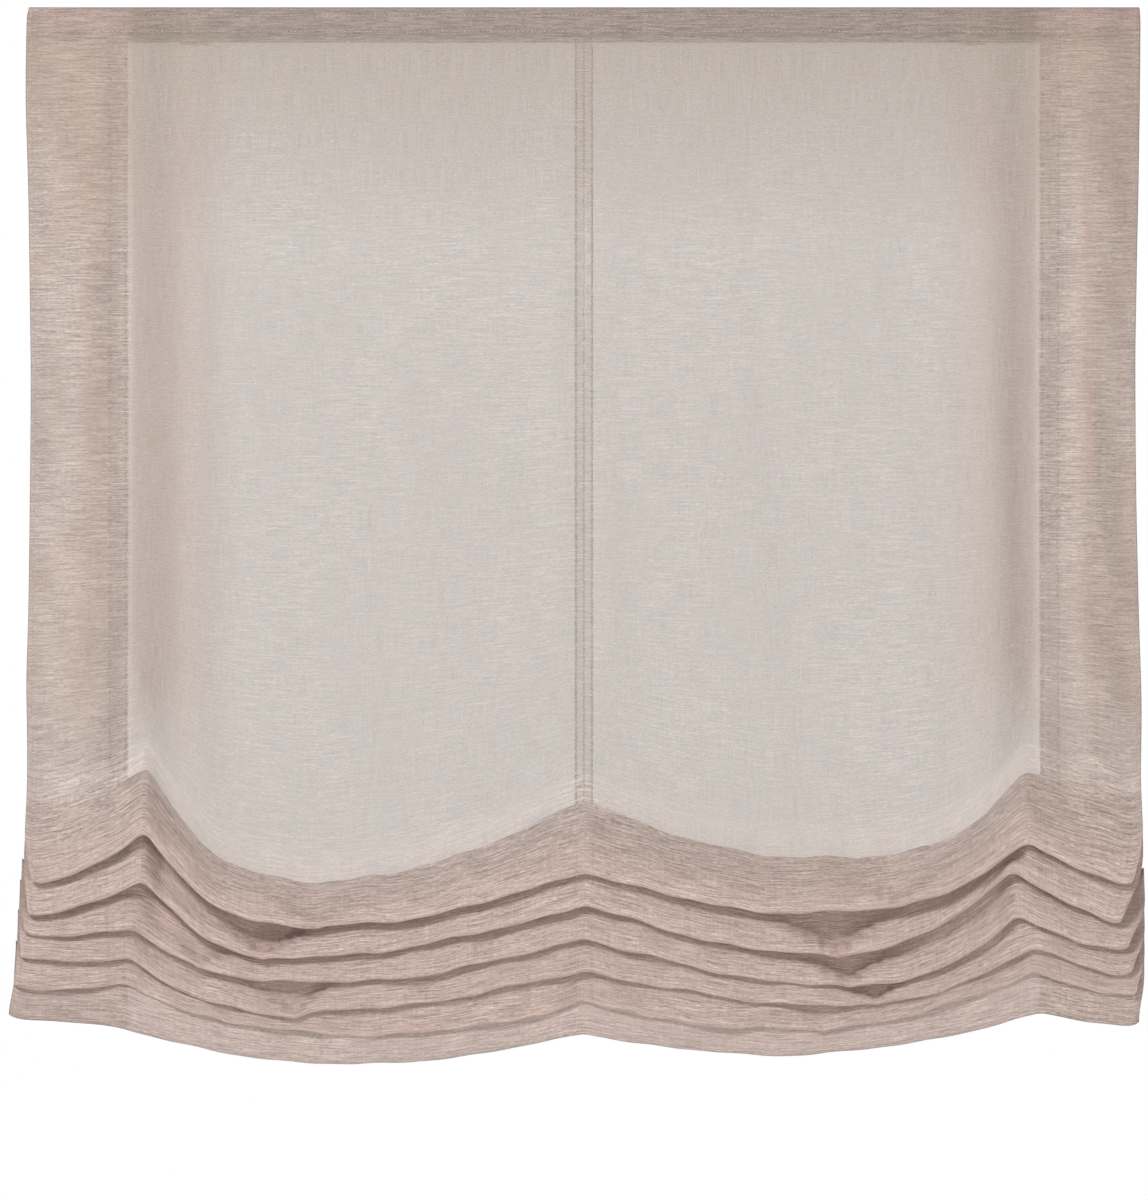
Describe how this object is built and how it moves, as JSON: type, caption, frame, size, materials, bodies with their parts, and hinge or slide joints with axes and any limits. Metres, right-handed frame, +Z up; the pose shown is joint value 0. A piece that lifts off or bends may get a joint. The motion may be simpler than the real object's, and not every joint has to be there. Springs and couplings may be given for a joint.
{
  "type": "roman blind",
  "caption": "Relaxed Roman blind: sheer cloth on a hook-and-loop headrail, drawn up into soft folds by lift cords through rings and a cord lock.",
  "frame": {"origin": "on the wall, at the middle of the bracket screw holes, half way up the headrail", "axes": "+X to the right seen from the room, +Y into the wall, +Z up"},
  "size_m": [1, 0.0617, 0.9533],
  "materials": {
    "voile": "sheer slub voile, matt with a faint sheen",
    "tape": "narrow woven polyester tape, stitched edges",
    "ring_plastic": "moulded, slightly milky",
    "cord": "braided polyester",
    "bell_plastic": "moulded",
    "rail": "white powder coat",
    "cap_plastic": "moulded",
    "hook_tape": "hook tape",
    "loop_tape": "loop tape",
    "bracket_steel": "zinc plated",
    "clamp_steel": "zinc plated",
    "guide_plastic": "moulded",
    "wheel_plastic": "moulded acetal",
    "pin_steel": "drawn wire",
    "roller_brass": "knurled"
  },
  "bodies": {
    "fixed": {"blind_cloth": "voile", "cord_anchor_centre": "ring_plastic", "cord_anchor_left": "ring_plastic", "cord_anchor_right": "ring_plastic", "cord_guide_centre": "guide_plastic", "cord_guide_left": "guide_plastic", "cord_guide_right": "guide_plastic", "cord_lock_body": "guide_plastic", "cord_lock_pin": "pin_steel", "end_cap_left": "cap_plastic", "end_cap_right": "cap_plastic", "gather_tape_centre": "tape", "gather_tape_left": "tape", "gather_tape_right": "tape", "guide_pin_centre": "pin_steel", "guide_pin_left": "pin_steel", "guide_pin_right": "pin_steel", "headrail": "rail", "hook_strip": "hook_tape", "lift_cord_centre": "cord", "lift_cord_left": "cord", "lift_cord_right": "cord", "loop_strip": "loop_tape", "pull_bell": "bell_plastic", "ring_centre_1": "ring_plastic", "ring_centre_2": "ring_plastic", "ring_centre_3": "ring_plastic", "ring_centre_4": "ring_plastic", "ring_centre_5": "ring_plastic", "ring_left_1": "ring_plastic", "ring_left_2": "ring_plastic", "ring_left_3": "ring_plastic", "ring_left_4": "ring_plastic", "ring_left_5": "ring_plastic", "ring_right_1": "ring_plastic", "ring_right_2": "ring_plastic", "ring_right_3": "ring_plastic", "ring_right_4": "ring_plastic", "ring_right_5": "ring_plastic", "wall_bracket_left": "bracket_steel", "wall_bracket_right": "bracket_steel"},
    "lock_wheel": {"cord_lock_wheel": "wheel_plastic"},
    "lock_roller": {"cord_lock_roller": "roller_brass"},
    "left_wheel": {"guide_wheel_left": "wheel_plastic"},
    "centre_wheel": {"guide_wheel_centre": "wheel_plastic"},
    "right_wheel": {"guide_wheel_right": "wheel_plastic"},
    "left_clamp": {"clamp_cam_left": "clamp_steel", "clamp_lever_left": "clamp_steel"},
    "right_clamp": {"clamp_cam_right": "clamp_steel", "clamp_lever_right": "clamp_steel"}
  },
  "joints": [
    {"name": "lock_wheel_turn", "type": "hinge", "parent": "fixed", "child": "lock_wheel", "pos_m": [0.46115, -0.0175, -0.0058], "axis": [0, 1, 0], "continuous": true},
    {"name": "left_wheel_turn", "type": "hinge", "parent": "fixed", "child": "left_wheel", "pos_m": [-0.41375, -0.0175, -0.0058], "axis": [0, 1, 0], "continuous": true},
    {"name": "centre_wheel_turn", "type": "hinge", "parent": "fixed", "child": "centre_wheel", "pos_m": [0.00485, -0.0175, -0.0058], "axis": [0, 1, 0], "continuous": true},
    {"name": "right_wheel_turn", "type": "hinge", "parent": "fixed", "child": "right_wheel", "pos_m": [0.42345, -0.0175, -0.0058], "axis": [0, 1, 0], "continuous": true},
    {"name": "lock_roller_slide", "type": "slide", "parent": "fixed", "child": "lock_roller", "axis": [0.4226, 0, -0.9063], "range_m": [0, 0.003]},
    {"name": "left_clamp_turn", "type": "hinge", "parent": "fixed", "child": "left_clamp", "pos_m": [-0.35, -0.0126, -0.0125], "axis": [0, 0, 1], "range_deg": [0, 90]},
    {"name": "right_clamp_turn", "type": "hinge", "parent": "fixed", "child": "right_clamp", "pos_m": [0.35, -0.0126, -0.0125], "axis": [0, 0, 1], "range_deg": [0, 90]}
  ],
  "couplings": [
    {"joint": "left_wheel_turn", "follows": "lock_wheel_turn", "ratio": 1},
    {"joint": "centre_wheel_turn", "follows": "lock_wheel_turn", "ratio": 1},
    {"joint": "right_wheel_turn", "follows": "lock_wheel_turn", "ratio": 1}
  ]
}
